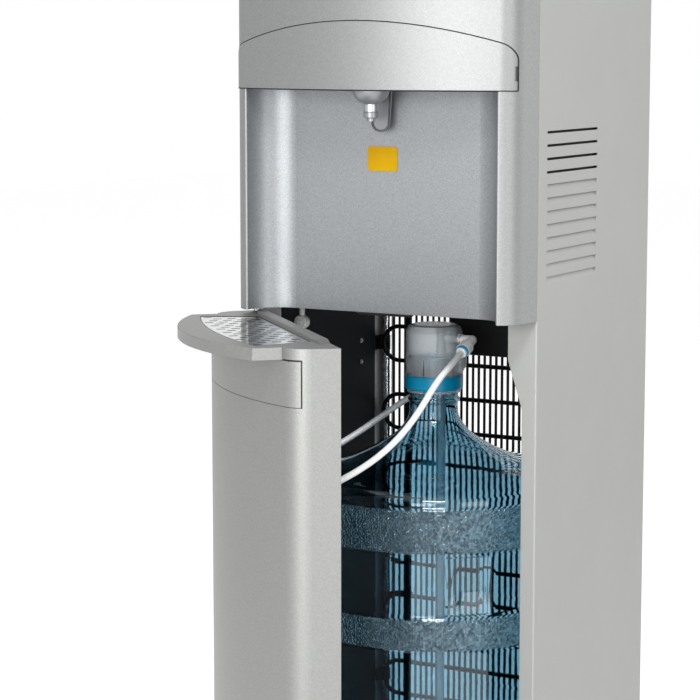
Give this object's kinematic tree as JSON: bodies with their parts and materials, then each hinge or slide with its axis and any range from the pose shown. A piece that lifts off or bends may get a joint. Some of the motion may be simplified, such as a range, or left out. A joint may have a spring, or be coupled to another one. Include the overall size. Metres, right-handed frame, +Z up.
{
  "type": "bottom load water cooler",
  "caption": "Free-standing water cooler with a bowed front, an alcove with an outlet and paddle, and a swinging door over a bottle bay with a suction hose.",
  "frame": {"origin": "on the floor, midway between the side panels, in the plane of their front flanges", "axes": "+Z up, +Y to the back, +X to the right seen from the front"},
  "size_m": [0.3436, 0.5397, 1.04],
  "materials": {
    "silver_moulding": "satin metallic",
    "alcove_grey": "satin",
    "cabinet_paint": "satin",
    "dark_sheet": "satin",
    "black_plastic": "matt",
    "wire_black": "gloss",
    "foil": "crinkled",
    "bright_steel": "polished",
    "steel": "satin",
    "nozzle_grey": "satin",
    "label_blank": "satin",
    "white_plastic": "satin",
    "bottle_blue": "clear tinted",
    "cap_frosted": "translucent",
    "ring_blue": "satin",
    "hose_white": "satin",
    "foam_grey": "matt",
    "board_green": "satin"
  },
  "bodies": {
    "cabinet": {"air_filter": "white_plastic", "alcove_panel": "alcove_grey", "base": "black_plastic", "bell_cap": "cap_frosted", "bottle": "bottle_blue", "cold_tank": "foam_grey", "compressor": "dark_sheet", "compressor_shelf": "dark_sheet", "condenser_brackets": "black_plastic", "condenser_tube": "wire_black", "condenser_wires": "wire_black", "control_board": "board_green", "control_panel": "black_plastic", "cord_gland": "black_plastic", "dip_tube": "cap_frosted", "discharge_pipe": "dark_sheet", "elbow_body": "white_plastic", "elbow_collet": "white_plastic", "elbow_lock": "ring_blue", "elbow_washer": "cap_frosted", "fascia": "silver_moulding", "faucet_valve": "steel", "hinge_bottom": "steel", "hinge_top": "steel", "hood": "silver_moulding", "hot_tank": "steel", "label_plate": "label_blank", "line_sleeve": "foam_grey", "liner_left": "dark_sheet", "liner_right": "dark_sheet", "liner_rivets": "foil", "nozzle_bowl": "nozzle_grey", "nozzle_collar": "bright_steel", "nozzle_tip": "nozzle_grey", "paddle_pin": "steel", "pump_housing": "black_plastic", "pump_inlet": "white_plastic", "rear_panel": "dark_sheet", "side_panel_left": "cabinet_paint", "side_panel_right": "cabinet_paint", "snap_ring": "ring_blue", "status_lens": "cap_frosted", "suction_hose": "hose_white", "suction_line": "foil", "switch_bezel": "black_plastic", "tank_shelf": "dark_sheet", "top_cover": "silver_moulding"},
    "door": {"door_shell": "silver_moulding", "door_liner": "alcove_grey", "door_apron": "silver_moulding", "door_magnet": "black_plastic", "door_top": "silver_moulding"},
    "basin": {"drip_basin": "alcove_grey"},
    "grille": {"drip_grille": "bright_steel"},
    "paddle": {"paddle": "nozzle_grey"},
    "hot_button": {"hot_button": "white_plastic"},
    "room_button": {"room_button": "white_plastic"},
    "cold_button": {"cold_button": "white_plastic"},
    "rocker_left": {"rocker_left": "black_plastic"},
    "rocker_right": {"rocker_right": "black_plastic"}
  },
  "joints": [
    {"name": "door_swing", "type": "hinge", "parent": "cabinet", "child": "door", "pos_m": [-0.14985, -0.0053, 0.3], "axis": [0, 0, 1], "range_deg": [-46, 45.5]},
    {"name": "basin_lift", "type": "slide", "parent": "door", "child": "basin", "axis": [0, 0, 1], "range_m": [0, 0.04]},
    {"name": "grille_lift", "type": "slide", "parent": "basin", "child": "grille", "axis": [0, 0, 1], "range_m": [0, 0.06]},
    {"name": "paddle_press", "type": "hinge", "parent": "cabinet", "child": "paddle", "pos_m": [0, -0.0215, 0.814], "axis": [1, 0, 0], "range_deg": [0, 7], "stiffness_Nm_per_rad": 0.05, "springref_deg": -17.19},
    {"name": "hot_button_press", "type": "slide", "parent": "cabinet", "child": "hot_button", "axis": [0, 1, 0], "range_m": [0, 0.0015], "stiffness_N_per_m": 400, "springref_m": -0.0015},
    {"name": "room_button_press", "type": "slide", "parent": "cabinet", "child": "room_button", "axis": [0, 1, 0], "range_m": [0, 0.0015], "stiffness_N_per_m": 400, "springref_m": -0.0015},
    {"name": "cold_button_press", "type": "slide", "parent": "cabinet", "child": "cold_button", "axis": [0, 1, 0], "range_m": [0, 0.0015], "stiffness_N_per_m": 400, "springref_m": -0.0015},
    {"name": "rocker_left_tilt", "type": "hinge", "parent": "cabinet", "child": "rocker_left", "pos_m": [0.079, 0.273, 0.8], "axis": [1, 0, 0], "range_deg": [-16, 0]},
    {"name": "rocker_right_tilt", "type": "hinge", "parent": "cabinet", "child": "rocker_right", "pos_m": [0.113, 0.273, 0.8], "axis": [1, 0, 0], "range_deg": [-16, 0]}
  ]
}
